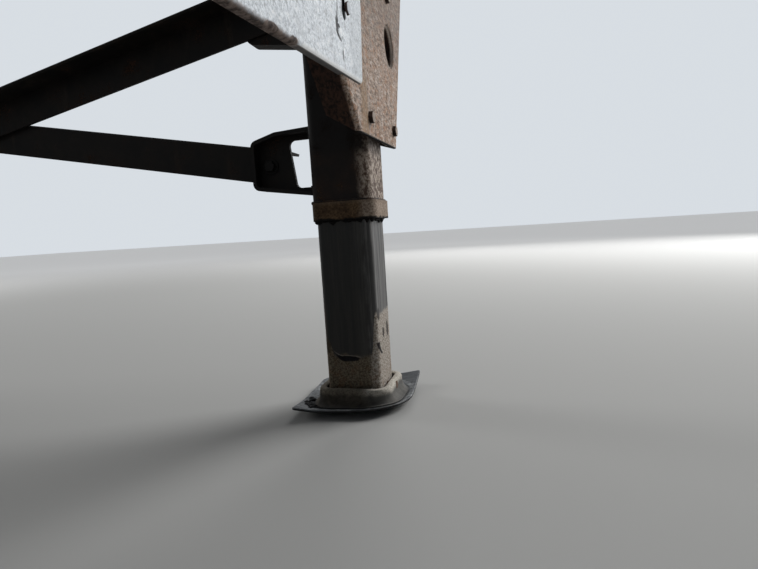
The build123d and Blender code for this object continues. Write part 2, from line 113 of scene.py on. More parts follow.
class Finish:
    """One material: its nodes, and the object coordinates that its patterns read."""

    def __init__(self, name):
        self.material = bpy.data.materials.new(name)
        self.material.use_nodes = True
        self.tree = self.material.node_tree
        self.shader = self.tree.nodes["Principled BSDF"]
        self.place = self.node("ShaderNodeTexCoord", out="Object")
        self.x = self.node("ShaderNodeSeparateXYZ", {}, self.place, out="X")
        self.y = self.node("ShaderNodeSeparateXYZ", {}, self.place, out="Y")
        self.z = self.node("ShaderNodeSeparateXYZ", {}, self.place, out="Z")

    def node(self, kind, settings=None, *values, out=0, **named):
        """A node of that type, its settings first and then the values or links of its sockets."""
        made = self.tree.nodes.new(kind)
        for key, value in (settings or {}).items():
            setattr(made, key, value)
        for index, value in enumerate(values):
            self.feed(made.inputs[index], value)
        for key, value in named.items():
            self.feed(made.inputs[key], value)
        return Signal(self, made.outputs[out])

    def feed(self, socket, value):
        if isinstance(value, Signal):
            self.tree.links.new(value.socket, socket)
        else:
            socket.default_value = value

    def stretched(self, stretch):
        """The object coordinates, scaled along each axis."""
        return self.node("ShaderNodeVectorMath", {"operation": "MULTIPLY"}, self.place, stretch)

    def noise(self, per_metre, detail=5.0, roughness=0.55, stretch=(1, 1, 1), warp=0.0):
        at = self.stretched(stretch)
        sizes = {"Scale": per_metre, "Detail": detail, "Roughness": roughness, "Distortion": warp}
        return self.node("ShaderNodeTexNoise", {}, Vector=at, **sizes)

    def cells(self, per_metre, out="Distance"):
        return self.node("ShaderNodeTexVoronoi", {}, Vector=self.place, Scale=per_metre, out=out)

    def spot(self, centre, reach):
        """1 at a point, falling to 0 on the ellipsoid of those half-lengths round it."""
        away = self.node("ShaderNodeVectorMath", {"operation": "SUBTRACT"}, self.place, centre)
        away = self.node("ShaderNodeVectorMath", {"operation": "DIVIDE"}, away, reach)
        return 1.0 - self.node("ShaderNodeVectorMath", {"operation": "LENGTH"}, away, out="Value")

    def plate_spot(self, y, z, *reach):
        """The same where the right gusset lies on its hanger, with z above the floor."""
        return self.spot((bolted_x, y, floor_z + z), reach)

    def slots(self):
        """1 in the middle of each of the right gusset's slots."""
        return [self.plate_spot(y, z, 0.06, 0.01, 0.037).rise(0.0, 0.1) for y, z in gusset_slots]

    def right(self):
        """1 on the right half of the part, whose leg the photo shows."""
        return self.x.rise(0.0, 0.1)

    def attribute(self, name):
        """A number that the mesh carries at its points."""
        return self.node("ShaderNodeAttribute", {"attribute_name": name}, out="Fac")

    def mix(self, factor, first, second):
        """From the first colour at 0 to the second at 1."""
        made = self.tree.nodes.new("ShaderNodeMix")
        made.data_type = "RGBA"
        self.feed(made.inputs["Factor"], factor)
        self.feed(made.inputs[6], first)
        self.feed(made.inputs[7], second)
        return Signal(self, made.outputs[2])

    def blend(self, signal, start, end, first, second):
        """The first screen colour where the signal is below start, and the second above end."""
        return self.mix(signal.rise(start, end), tone(*first), tone(*second))

    def tint(self, factor, *color):
        """Mixes a screen colour, or one that was made before, over the finish's colour."""
        self.color = self.mix(factor, self.color, tone(*color) if len(color) > 1 else color[0])

    def coat(self, roughness, height=None, depth=0.001, specular=0.5, metallic=0.0):
        """Links the colour, roughness and bump height, and sets what is the same all over."""
        sockets = ("Base Color", "Roughness", "Specular IOR Level", "Metallic")
        for key, value in zip(sockets, (self.color, roughness, specular, metallic)):
            self.feed(self.shader.inputs[key], value)
        if height is not None:
            bump = self.node("ShaderNodeBump", {}, Strength=1.0, Distance=depth, Height=height)
            self.feed(self.shader.inputs["Normal"], bump)
        return self.material


# The middles of the gusset's slots: forward of the leg's centre, and above the floor
gusset_slots = ((-0.243, 0.7435), (-0.243, 0.9085), (-0.243, 1.0735), (-0.4, 0.9085), (-0.4, 1.0735))


def tone(red, green, blue):
    """A screen colour, 0 to 255 each, as the linear colour that the shader wants."""
    screen = np.array([red, green, blue]) / 255
    linear = np.where(screen <= 0.04045, screen / 12.92, ((screen + 0.055) / 1.055) ** 2.4)
    return (*linear, 1.0)


def rusted_sheet():
    """Thin rust on the hangers: fine grain, upright rain streaks, old dark paint and painted shade in the
    folds.
    """
    mat = Finish("rusted sheet")
    up = mat.z - floor_z
    depth = hanger_outer_x - abs(mat.x)
    grain = mat.noise(230, detail=8, roughness=0.85)
    blotch = mat.noise(15, roughness=0.6)
    fleck = mat.noise(190, detail=4, roughness=0.7, stretch=(1, 0.3, 0.8))
    scale = mat.noise(110, roughness=0.7, stretch=(1, 0.35, 0.8))
    streak = mat.noise(62, roughness=0.6, stretch=(1, 1.6, 0.1))
    mat.color = mat.blend(grain, 0.42, 0.58, (90, 70, 57), (184, 166, 152))
    mat.tint(blotch.rise(0.44, 0.66) * 0.4, 146, 112, 88)
    mat.tint(fleck.rise(0.53, 0.62) * 0.85, 196, 182, 170)
    mat.tint(scale.rise(0.51, 0.61) * 0.62, 160, 116, 84)
    mat.tint(fleck.rise(0.46, 0.37) * 0.8, 70, 56, 46)
    mat.tint(streak.rise(0.52, 0.66) * 0.3, 178, 172, 168)
    mat.tint(streak.rise(0.44, 0.34) * 0.3, 90, 68, 54)
    # Painted shade: darker towards the top.
    mat.tint(up.rise(0.68, 0.86) * 0.46, 84, 78, 74)
    tan = abs(mat.y + 0.128).rise(0.032, 0.012) * up.rise(0.69, 0.64) * streak.rise(0.36, 0.56)
    mat.tint(tan * 0.75, 138, 112, 82)
    # Painted shade: a thin dark line on the web beside the gusset's front edge.
    gusset_edge_shade = mat.y + 0.1365 + (0.765 - up).most(0.0) * 0.147
    mat.tint(gusset_edge_shade.rise(0.01, 0.002) * up.rise(0.628, 0.64) * 0.55, 60, 48, 40)
    # The inner faces of the folds: old dark paint, with painted shade over it.
    old_paint_and_shade = mat.blend(fleck, 0.4, 0.6, (22, 14, 11), (60, 41, 32))
    spots = mat.noise(120, detail=3).rise(0.58, 0.66) * (up + blotch * 0.1).rise(0.72, 0.62)
    old_paint_and_shade = mat.mix(spots * 0.3, old_paint_and_shade, tone(96, 66, 46))
    inside = (depth + blotch * 0.006).rise(0.008, 0.014)
    mat.tint(inside, old_paint_and_shade)
    # Painted light on the front wall of the bore, and painted shade on its rear.
    bore = mat.plate_spot(0.1195, 0.7805, 0.06, 0.0445, 0.0445).rise(-0.01, 0.01)
    lit = (mat.y + scale * 0.02).rise(0.108, 0.122)
    mat.tint(bore * lit, 252, 238, 226)
    mat.tint(bore * (1.0 - lit), 18, 14, 12)
    # Painted shade: a dark line along the web's lower edge and on the underside next to it.
    edge = up - 0.55 - (mat.y + 0.165) * 0.0298 + fleck * 0.001
    cut = edge.rise(0.014, 0.01) * depth.rise(0.0003, 0.001) * mat.y.rise(-0.15, -0.145)
    edge = edge.rise(0.0028, 0.0016).most(cut)
    mat.tint(edge, 9, 6, 5)
    # Painted shade where the web shows through the gusset's slots.
    for slot_shade in mat.slots():
        mat.tint(slot_shade * 0.95, 16, 12, 11)
    height = grain * 0.6 + fleck * 0.6 + streak * 0.1
    return mat.coat(0.8 + grain * 0.1, height, 0.0014, specular=0.2)


def galvanised():
    """Weathered zinc: fine pale mottle, a broken crack, brown dirt along the bent lower edge, painted shade
    under that edge and towards the front, and a painted highlight on the bend.
    """
    mat = Finish("weathered zinc")
    up = mat.z - floor_z
    outer = gusset_face_x - abs(mat.x)
    above_edge = up - 0.632 - (mat.y + 0.156) * 0.0807
    mottle = mat.noise(230, detail=6, roughness=0.8)
    drips = mat.noise(150, roughness=0.75, stretch=(1, 0.35, 0.6))
    spangle = mat.cells(120, out="Color")
    spangle = mat.node("ShaderNodeSeparateColor", {}, spangle, out="Red")
    bloom = mat.noise(24, detail=6, roughness=0.65)
    mat.color = mat.blend(mottle, 0.38, 0.62, (176, 183, 190), (242, 247, 252))
    mat.tint(spangle * 0.25, 242, 246, 250)
    mat.tint(drips.rise(0.54, 0.64) * 0.6, 252, 253, 254)
    mat.tint(drips.rise(0.46, 0.36) * 0.6, 148, 151, 155)
    mat.tint(bloom.rise(0.5, 0.72) * 0.35, 164, 168, 171)
    # Painted shade towards the front edge.
    mat.tint(mat.y.rise(-0.245, -0.2) * 0.28, 150, 155, 158)
    specks = mat.cells(230).rise(0.16, 0.08) * mat.noise(34, 4).rise(0.52, 0.62)
    mat.tint(specks * 0.6, 100, 96, 94)
    wander = (mat.noise(110, roughness=0.7) - 0.5) * 0.004
    width = mat.noise(90, detail=4, stretch=(1, 0.4, 1)).rise(0.34, 0.58)
    line = mat.y + 0.2722 + up.rise(0.67, 0.6765) * 0.011 - up.rise(0.6965, 0.7247) * 0.0062 + wander
    bold = up.rise(0.708, 0.694)
    half = 0.0014 + width * 0.0016 + bold * (0.0014 + width * 0.003)
    crack = (abs(line) / half).rise(1.3, 0.8) * up.rise(0.667, 0.671) * up.rise(0.86, 0.78)
    crack = crack * (0.45 + bold * 0.4 + width * 0.15)
    short = abs(mat.y + 0.2613 + wander).rise(0.0042, 0.0022)
    short = short * up.rise(0.639, 0.645) * up.rise(0.661, 0.655)
    tick = mat.plate_spot(-0.2775, 0.69, 0.02, 0.01, 0.0032).rise(0.1, 0.35)
    crack = crack.most(short * 0.75).most(tick) * outer.rise(0.004, 0.001) * mat.right()
    glint = mat.plate_spot(-0.266, 0.6847, 0.02, 0.0042, 0.011).rise(0.1, 0.5)
    glint = glint.most(mat.plate_spot(-0.2548, 0.6586, 0.02, 0.0036, 0.01).rise(0.2, 0.7))
    mat.tint(glint, 250, 252, 253)
    mat.tint(crack, 26, 26, 29)
    lumps = mat.noise(90, roughness=0.65)
    band = (above_edge - lumps * 0.008).rise(0.004, -0.003) * mat.y.rise(-0.44, -0.452)
    for y, z, reach in ((-0.46, 0.608, 0.017), (-0.518, 0.603, 0.028)):
        patch = mat.plate_spot(y, z, 0.02, reach, 0.0095)
        band = band.most((patch + (lumps - 0.5) * 0.5).rise(0.15, 0.35))
    # Painted highlight on the bend of the lower edge.
    bend = above_edge.rise(0.01, 0.0) * mat.y.rise(-0.445, -0.425)
    mat.tint(bend, 250, 250, 249)
    # Painted shade under the bent lower edge: near-black towards the front, the caked dirt's brown behind.
    under = outer.rise(0.002, 0.0036)
    caked = mat.blend(lumps, 0.36, 0.64, (58, 48, 44), (124, 110, 102))
    under_lip_shade = mat.blend(lumps, 0.4, 0.6, (14, 11, 10), (40, 33, 29))
    dirt = mat.mix(mat.y.rise(-0.46, -0.4), caked, under_lip_shade)
    mat.tint(band.most(under * 0.9), dirt)
    # Painted shade on the walls of the gusset's slots.
    for slot_shade in mat.slots():
        mat.tint(slot_shade * outer.rise(0.0002, 0.0008), 16, 13, 12)
    height = mottle * 0.3 + bloom * 0.3 - crack * 1.5 - specks * 0.4 + band * lumps * 2.0
    return mat.coat(0.6 + bloom * 0.2, height, 0.001, specular=0.12)


def tube_paint():
    """Old dark paint on the legs, rust breaking through, beige road dust on the outboard corners."""
    mat = Finish("old tube paint")
    across = abs(mat.x) - leg_x
    cloud = mat.noise(18, detail=6, roughness=0.65)
    grain = mat.noise(300, detail=6, roughness=0.72)
    streak = mat.noise(48, stretch=(1, 1, 0.12))
    paint = mat.blend(cloud, 0.35, 0.65, (20, 15, 13), (38, 29, 24))
    rust = mat.blend(grain, 0.35, 0.65, (64, 42, 30), (104, 76, 54))
    mud = mat.noise(170, roughness=0.7, stretch=(1, 0.6, 0.7))
    dust = mat.blend(mud, 0.38, 0.62, (92, 73, 59), (202, 187, 173))
    patches = (cloud * 0.6 + grain * 0.4).rise(0.54, 0.6)
    mat.color = mat.mix(patches * 0.45, paint, rust)
    worn = (across + cloud * 0.022 + grain * 0.014 - 0.022).rise(0.028, 0.05)
    mat.tint(worn * (0.35 + streak * 0.9), dust)
    scab = mat.noise(120, stretch=(1, 0.6, 0.6)).rise(0.52, 0.6) * worn
    mat.tint(scab * 0.8, 72, 52, 42)
    shade = (mat.z - floor_z + cloud * 0.012).rise(0.52, 0.552)
    mat.tint(shade * (across.rise(0.06, 0.05) * 0.3 + 0.62), 12, 9, 8)
    height = grain * 0.4 - patches * 0.6 + cloud * 0.3 - scab * 0.5
    return mat.coat(0.7 + patches * 0.2, height, 0.0009, specular=0.15)


def collar_dust():
    """Brown dust caked on rust, paler outboard, with black grease along the lower edge."""
    mat = Finish("dusty collar")
    up = mat.z - collar_low[2]
    grain = mat.noise(260, detail=6, roughness=0.72)
    cloud = mat.noise(34)
    across = abs(mat.x) - leg_x
    dust = mat.blend(grain, 0.34, 0.66, (62, 46, 32), (120, 98, 74))
    mat.color = mat.mix(cloud.rise(0.45, 0.65) * 0.6, dust, tone(48, 34, 25))
    # Painted shade: darker on the inboard side.
    mat.tint((across + cloud * 0.02).rise(-0.016, -0.046) * 0.5, 38, 27, 20)
    pale = mat.blend(grain, 0.38, 0.62, (116, 98, 84), (172, 158, 144))
    mat.tint((across + cloud * 0.02).rise(0.042, 0.066) * 0.9, pale)
    rim = up + mat.noise(75, detail=4) * 0.012
    mat.tint(rim.rise(0.012, 0.007), 12, 10, 9)
    mat.tint(up.rise(0.028, 0.036) * 0.35, 120, 104, 88)
    height = grain * 0.6 + cloud * 0.5
    return mat.coat(0.88, height, 0.0014, specular=0.15)


gouge_centre = (-0.0085, 0.112)    # across from the leg's centre, and above the floor
gouge_half = (0.0265, 0.0062)
gouge_bend = 0.016                  # how fast its inboard end turns up
# Dark marks on the right inner tube's outboard face: y, height above the floor, half-lengths
outboard_marks = ((-0.04, 0.202, 0.011, 0.016), (-0.008, 0.158, 0.009, 0.014), (0.028, 0.16, 0.01, 0.022))


def greased_tube():
    """Black grease with upright streaks, rust at the inboard edge, and road dust at the foot."""
    mat = Finish("greased tube")
    across = abs(mat.x) - leg_x
    up = mat.z - floor_z
    streak = mat.noise(85, detail=6, roughness=0.62, stretch=(1, 1, 0.05))
    cloud = mat.noise(30)
    grain = mat.noise(380, detail=6, roughness=0.74)
    grease = mat.blend(streak, 0.38, 0.64, (20, 19, 17), (36, 34, 31))
    corner = (across + cloud * 0.016).rise(0.042, 0.056)
    grey = mat.blend(streak, 0.4, 0.6, (60, 59, 58), (112, 110, 108))
    grease = mat.mix(corner * 0.85, grease, grey)
    sheen = abs(across - 0.03).rise(0.014, 0.002) * streak.rise(0.3, 0.62)
    grease = mat.mix(sheen * 0.45, grease, tone(76, 74, 71))
    edge = (across + streak * 0.012).rise(-0.042, -0.054) * (up + cloud * 0.2).rise(0.42, 0.24)
    grease = mat.mix(edge * streak.rise(0.36, 0.56) * 0.8, grease, tone(92, 60, 40))
    mud = mat.noise(240, roughness=0.75)
    dust = mat.blend(mud, 0.36, 0.64, (64, 55, 43), (128, 117, 100))
    pale = mat.blend(mud, 0.38, 0.62, (104, 94, 84), (190, 182, 172))
    dust = mat.mix(corner, dust, pale)
    rusty = mat.noise(64, roughness=0.7).rise(0.5, 0.62) * up.rise(0.15, 0.06)
    dust = mat.mix(rusty * 0.4, dust, tone(104, 72, 48))
    ledge = 0.118 + across.rise(-0.036, -0.05) * 0.036 + across.rise(0.043, 0.055) * 0.085
    border = up - ledge + (cloud - 0.5) * 0.02 + (streak - 0.5) * 0.016 + (grain - 0.5) * 0.008
    dusty = border.rise(0.005, -0.005)
    dust = mat.mix(across.rise(-0.04, -0.052) * up.rise(0.118, 0.13), dust, tone(58, 48, 36))
    mat.color = mat.mix(dusty, grease, dust)
    along = (across - gouge_centre[0]) / 0.0255 + (mud - 0.5) * 0.3
    turned = (-along - 0.25).most(0.0) ** 2.0 * gouge_bend
    tall = (up - gouge_centre[1] - turned) / 0.0058 + (grain - 0.5) * 0.6
    bent = (along * along + tall * tall) ** 0.5
    rear = mat.y.rise(-0.04, -0.046) * mat.right()
    mat.tint(bent.rise(1.45, 1.15) * tall.rise(0.3, 0.7) * rear * 0.6, 132, 126, 120)
    mat.tint(bent.rise(1.08, 0.9) * rear, 7, 5, 6)
    bow = mat.y + 0.048 - ((0.143 - up) / 0.026).most(0.0) ** 2.0 * 0.02
    mark = abs(bow).rise(0.0085, 0.004) * up.rise(0.114, 0.119) * up.rise(0.148, 0.142)
    for y, z, wide, tall in outboard_marks:
        dark = mat.spot((leg_x + inner_half, y, floor_z + z), (0.01, wide, tall))
        mark = mark.most(dark.rise(0.0, 0.4) * 0.85)
    mark = mark * across.rise(0.052, 0.056) * mat.right()
    mat.tint(mark, 20, 12, 13)
    height = streak * 0.25 + grain * (0.1 + dusty * 0.6) + dusty * 0.4
    rough = 0.5 + dusty.most(bent.rise(1.1, 0.9)) * 0.36 + streak * 0.12
    return mat.coat(rough, height, 0.0008, specular=0.22)


def socket_dust():
    """Grey-brown dirt on the pressed socket, beige dust on its lip with a painted highlight, most of all
    outboard, and painted shade inside its mouth and underneath.
    """
    mat = Finish("dusty socket")
    up = mat.z - floor_z
    across = abs(mat.x) - leg_x
    grain = mat.noise(280, detail=6, roughness=0.72)
    cloud = mat.noise(36, warp=0.6)
    body = mat.blend(cloud, 0.36, 0.64, (50, 47, 42), (82, 76, 68))
    outer = (across + cloud * 0.03).rise(0.03, 0.085)
    body = mat.mix(outer * 0.75, body, tone(112, 111, 108))
    # The lip: beige dust, with a painted highlight that grows outboard.
    lip = (up + cloud * 0.012).rise(0.042, 0.053)
    beige = mat.blend(grain, 0.36, 0.64, (104, 96, 84), (162, 154, 138))
    lip_highlight = mat.blend(grain, 0.36, 0.64, (152, 146, 134), (212, 206, 196))
    beige = mat.mix((across + cloud * 0.02).rise(0.02, 0.05), beige, lip_highlight)
    mat.color = mat.mix(lip * (0.55 + outer * 0.45), body, beige)
    mat.tint(grain.rise(0.56, 0.7) * 0.5, 46, 40, 34)
    base = (up + cloud * 0.012).rise(0.03, 0.018)
    mat.tint(base * 0.6, 76, 76, 76)
    # Painted shade inside the socket's mouth and underneath.
    inner = mat.attribute("zone").rise(0.2, 0.8)
    mat.tint(inner * 0.9, 14, 12, 11)
    return mat.coat(0.9, grain * 0.5 + cloud * 0.6, 0.0016, specular=0.15)


def shoe_steel():
    """Scraped blue-grey steel with dust and black stains, a painted highlight along the rim's top edge, and
    painted shade on the rim's edge, on the turned-up corner and where the socket's brim meets the plate.
    """
    mat = Finish("scraped shoe")
    zone = mat.attribute("zone")
    grain = mat.noise(240, detail=6, roughness=0.72)
    cloud = mat.noise(26, warp=0.8)
    scuff = mat.noise(60, stretch=(0.3, 1.4, 1))
    pitted = mat.noise(130, detail=4, roughness=0.7)
    mat.color = mat.blend(cloud, 0.36, 0.64, (64, 67, 70), (112, 115, 117))
    mat.tint(scuff.rise(0.5, 0.64) * 0.6, 140, 142, 142)
    mat.tint(pitted.rise(0.46, 0.36) * 0.7, 36, 35, 35)
    mat.tint(pitted.rise(0.56, 0.66) * 0.5, 150, 152, 152)
    stains = mat.cells(52).rise(0.22, 0.12) * mat.noise(14, 4).rise(0.52, 0.6)
    mat.tint(stains * 0.9, 26, 26, 28)
    for x, y in ((0.0942, 0.0857), (0.1, 0.048)):
        dot = mat.spot((leg_x + x, y, floor_z + 0.026), (0.0045, 0.007, 0.02))
        mat.tint(dot.rise(0.2, 0.5), 16, 15, 16)
    # Painted shade on the shoe's turned-up corner.
    turned_up_shade = ((mat.x - leg_x) + mat.y - 0.012).rise(0.16, 0.172) * mat.right()
    mat.tint(turned_up_shade * 0.8, 54, 56, 59)
    # Painted shadow where the socket's brim meets the plate, broken up by pits.
    reach = (abs(abs(mat.x) - leg_x) ** 3.4 + abs(mat.y) ** 3.4) ** (1 / 3.4)
    mat.tint(reach.rise(0.102, 0.0985) * pitted.rise(0.36, 0.5) * 0.9, 20, 19, 19)
    # A painted highlight along the rim's top edge, broken by scuffs.
    line = abs(zone - 1.0).rise(0.3, 0.05)
    mat.tint(line * scuff.rise(0.4, 0.6) * 0.5, 156, 158, 158)
    # Painted shade on the rim's edge and underneath.
    mat.tint(zone.rise(1.1, 1.5) * 0.95, 20, 19, 19)
    return mat.coat(0.72, grain * 0.5 + cloud * 0.3, 0.0012, specular=0.25)


def brace_paint():
    """Near-black paint on the braces and brackets, rusting in patches and along drips."""
    mat = Finish("black brace paint")
    cloud = mat.noise(16, detail=6, roughness=0.6)
    grain = mat.noise(260, detail=6, roughness=0.72)
    mat.color = mat.blend(cloud, 0.35, 0.65, (15, 13, 12), (27, 23, 20))
    rust = mat.blend(grain, 0.35, 0.65, (40, 26, 20), (72, 50, 38))
    patches = (cloud * 0.55 + grain * 0.45).rise(0.57, 0.62)
    mat.tint(patches * 0.7, rust)
    drip = mat.noise(26, stretch=(1, 1, 0.2)).rise(0.58, 0.7)
    mat.tint(drip * 0.35, 52, 44, 38)
    height = cloud * 0.3 - patches * 0.7 + grain * 0.25
    return mat.coat(0.66 + patches * 0.2, height, 0.0008, specular=0.12)


def worn_steel():
    """Brown surface rust, rubbed to dark metal on the high spots."""
    mat = Finish("worn steel")
    grain = mat.noise(420, detail=6, roughness=0.7)
    cloud = mat.noise(40)
    mat.color = mat.blend(grain, 0.35, 0.65, (66, 44, 32), (108, 80, 60))
    rubbed = cloud.rise(0.5, 0.62)
    mat.tint(rubbed * 0.75, 62, 57, 53)
    return mat.coat(0.72 - rubbed * 0.25, grain * 0.6, 0.0006, metallic=0.25)


def grip_steel():
    """A tube grip, polished dark by hands along its middle and rusty at its ends."""
    mat = Finish("rubbed grip")
    grain = mat.noise(300, detail=6, roughness=0.7)
    smooth = mat.noise(30, detail=4, stretch=(0.4, 1, 1))
    mat.color = mat.blend(smooth, 0.4, 0.6, (64, 50, 42), (88, 82, 76))
    mat.tint(grain.rise(0.58, 0.7) * 0.6, 100, 64, 42)
    return mat.coat(0.45 + grain * 0.2, grain * 0.5, 0.0004, metallic=0.4)


def bolt_rust(name, face):
    """Dark brown rust on the bolts and nuts, painted light, a little purple, on the upper half of each, and
    dusty faces.
    """
    mat = Finish(name)
    grain = mat.noise(500, roughness=0.7)
    cloud = mat.noise(60, detail=4)
    mat.color = mat.blend(cloud, 0.4, 0.6, (34, 27, 24), (56, 42, 38))
    mat.tint(grain.rise(0.55, 0.7) * 0.5, 84, 66, 54)
    zone = mat.attribute("zone")
    # Painted light on the upper half of each head or nut.
    mat.tint(zone.rise(0.05, 0.25) * 0.6, 92, 76, 68)
    mat.tint(zone.rise(0.35, 0.8) * (0.7 + grain * 0.4), face)
    return mat.coat(0.8, grain * 0.7, 0.0006, specular=0.25)


def bead_rust():
    """Weld beads under old paint, rusty on their crests."""
    mat = Finish("painted weld")
    grain = mat.noise(300)
    cloud = mat.noise(40)
    mat.color = mat.blend(cloud, 0.4, 0.6, (28, 22, 18), (60, 44, 32))
    mat.tint(grain.rise(0.58, 0.7) * 0.6, 96, 74, 56)
    return mat.coat(0.8, grain, 0.0008, specular=0.2)


def caked_grease():
    """Black grease and dirt, thick enough to shine where it is fresh."""
    mat = Finish("caked grease")
    lump = mat.noise(160)
    mat.color = mat.blend(lump, 0.45, 0.7, (6, 5, 5), (22, 19, 17))
    return mat.coat(0.65 + lump * 0.3, lump, 0.002, specular=0.12)


finishes = {
    "rusty_hanger": rusted_sheet(),
    "galvanised": galvanised(),
    "tube_paint": tube_paint(),
    "dusty_steel": collar_dust(),
    "greased_tube": greased_tube(),
    "shoe_steel": shoe_steel(),
    "brace_paint": brace_paint(),
    "worn_steel": worn_steel(),
    "grip_steel": grip_steel(),
}
socket_finish = socket_dust()
bolt_finishes = {
    "worn_steel": bolt_rust("rusty bolts", tone(150, 136, 124)),
    "galvanised": bolt_rust("gusset bolts", tone(196, 202, 208)),
    "brace_paint": finishes["brace_paint"],
}
weld_finish = bead_rust()
grease_finish = caked_grease()


def dress_nodes():
    """Gives every CAD node the finish of its material slot."""
    slots = {part["node"]: part["material_slot"] for part in frame["record"]["subparts"]}
    for node, piece in frame["nodes"].items():
        material = finishes[slots[node]]
        if node.startswith("foot_socket"):
            material = socket_finish
        piece.data.materials.clear()
        piece.data.materials.append(material)


def grid_faces(rows, columns, wrap_rows=False):
    """Quads between neighbours of a grid of rings, whose points count along each ring in turn."""
    row = np.arange(rows if wrap_rows else rows - 1)[:, None] * columns
    next_row = (row + columns) % (rows * columns)
    column = np.arange(columns)
    next_column = (column + 1) % columns
    corners = (row + column, row + next_column, next_row + next_column, next_row + column)
    return np.stack(corners, -1).reshape(-1, 4)


def place_in_scene(name, data):
    """An object with that mesh, lamp or camera, linked to the scene at the origin."""
    made = bpy.data.objects.new(name, data)
    scene.collection.objects.link(made)
    return made


tiny = 0.000001    # for pieces whose own points lie closer together than the usual merge distance


def make_piece(name, points, faces, body, material, smooth=True, merge=0.00002, zone=None):
    """A mesh object at the origin, its doubles merged and its faces turned outwards."""
    mesh = bpy.data.meshes.new(name)
    mesh.from_pydata(np.asarray(points).reshape(-1, 3).tolist(), [], np.asarray(faces).tolist())
    if zone is not None:
        layer = mesh.attributes.new("zone", "FLOAT", "POINT")
        layer.data.foreach_set("value", np.asarray(zone, np.float32).ravel())
    work = bmesh.new()
    work.from_mesh(mesh)
    bmesh.ops.remove_doubles(work, verts=work.verts, dist=merge)
    bmesh.ops.recalc_face_normals(work, faces=work.faces)
    work.to_mesh(mesh)
    work.free()
    mesh.polygons.foreach_set("use_smooth", np.full(len(mesh.polygons), smooth))
    mesh.materials.append(material)
    piece = place_in_scene(name, mesh)
    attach(piece, body)
    return piece


def raised(flat, height):
    """The points of a plan, each with a height of its own or one for each ring or for all."""
    height = np.broadcast_to(height, flat.shape[:-1])
    return np.concatenate([flat, height[..., None]], -1)


def unit(vectors):
    """The vectors at length 1."""
    return vectors / np.maximum(np.linalg.norm(vectors, axis=-1, keepdims=True), 1e-9)


def square_ring(half, corner, arc_steps=8, flat_steps=10):
    """Points round a square with round corners.

    Each corner is a quarter circle about a centre set in by the corner radius, the flats between
    are divided evenly, and each quarter is the first one turned by a right angle more.
    """
    turn = np.linspace(0, np.pi / 2, arc_steps + 1)
    inset = half - corner
    arc = inset + corner * np.stack([np.cos(turn), np.sin(turn)], -1)
    across = np.linspace(inset, -inset, flat_steps + 1)[1:-1]
    flat = np.stack([across, np.full_like(across, half)], -1)
    quarter = np.concatenate([arc, flat])
    turns = np.arange(4) * np.pi / 2
    spin = np.stack([np.cos(turns), -np.sin(turns), np.sin(turns), np.cos(turns)], -1).reshape(4, 2, 2)
    return np.einsum("kij,nj->kni", spin, quarter).reshape(-1, 2)


def waves(points, length, seed, count=7):
    """Smooth noise of about unit size: a sum of plane sine waves of random direction and phase."""
    random = np.random.default_rng(seed)
    direction = random.normal(size=(count, 3))
    direction /= np.linalg.norm(direction, axis=1, keepdims=True)
    rate = 2 * np.pi / (length * random.uniform(0.7, 1.6, count))
    phase = random.uniform(0, 2 * np.pi, count)
    angle = np.tensordot(points, direction * rate[:, None], axes=(-1, 1)) + phase
    return np.sin(angle).sum(-1) / count ** 0.5


def step(value, start, end):
    """A smooth step from 0 at start to 1 at end."""
    part = np.clip((value - start) / (end - start), 0, 1)
    return part * part * (3 - 2 * part)


inner_corner = 0.014


def inner_tube(side):
    """The inner tube as one closed sleeve.

    Its section is a rounded square that runs down the outside, round the lower rim, up the inside
    and over the top. The outside is moved in and out by waves under a third of a millimetre, and
    on the right leg by a gouge: a bent ellipse pressed in.
    """
    sign = sides[side]
    wall, bevel = plate_thick, 0.001
    fine = [np.linspace(0.4, 0.16, 60), np.linspace(0.158, 0.09, 48), np.linspace(0.088, 0.0275, 24)]
    low, high = inner_low[2], inner_high[2]
    outside = np.concatenate([[high, high - bevel], floor_z + np.concatenate(fine), [low]])
    inside = [low, low + bevel, high - bevel, high]
    levels = np.concatenate([outside, inside])
    shrink = np.concatenate([np.zeros(len(outside)), np.full(len(inside), wall)])
    shrink[0] = shrink[len(outside) - 1] = bevel
    ring = square_ring(inner_half, inner_corner, 10, 60)
    inner_ring = square_ring(inner_half - wall, inner_corner - wall, 10, 60)
    part = (shrink / wall)[:, None, None]
    flat = ring * (1 - part) + inner_ring * part
    points = raised(flat, levels[:, None])
    outward = np.zeros_like(points)
    outward[..., :2] = ring - np.sign(ring) * np.minimum(np.abs(ring), inner_half - inner_corner)
    outward = unit(outward)
    shift = -0.00012 + 0.0001 * waves(points, 0.05, 3)
    if side == "right":
        across = (points[..., 0] - gouge_centre[0]) / gouge_half[0]
        bend = gouge_bend * np.maximum(-across - 0.25, 0) ** 2
        up = (points[..., 2] - floor_z - gouge_centre[1] - bend) / gouge_half[1]
        radius = np.hypot(across, up) + 0.12 * waves(points, 0.01, 5)
        rear = points[..., 1] < -inner_half + 0.002
        dent = -0.0045 * step(radius, 1.0, 0.55)
        shift = shift + dent * rear
    points += outward * (shift * (1 - part[..., 0]))[..., None]
    points[..., 0] += sign * leg_x
    faces = grid_faces(len(levels), ring.shape[0], wrap_rows=True)
    name = f"inner_tube_greased_{side}"
    piece = make_piece(name, points, faces, f"leg_{side}", finishes["greased_tube"])
    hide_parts(f"inner_tube_{side}")


shoe_size = np.array([0.237, 0.25])
shoe_centre = np.array([-0.008, 0.017])     # from the right leg's centre
shoe_turn = np.radians(2.8)
shoe_thick = plate_thick
dish_flat = 0.075
dish_slope = 0.28
dish_bend = 0.01
inboard_slope = 0.223
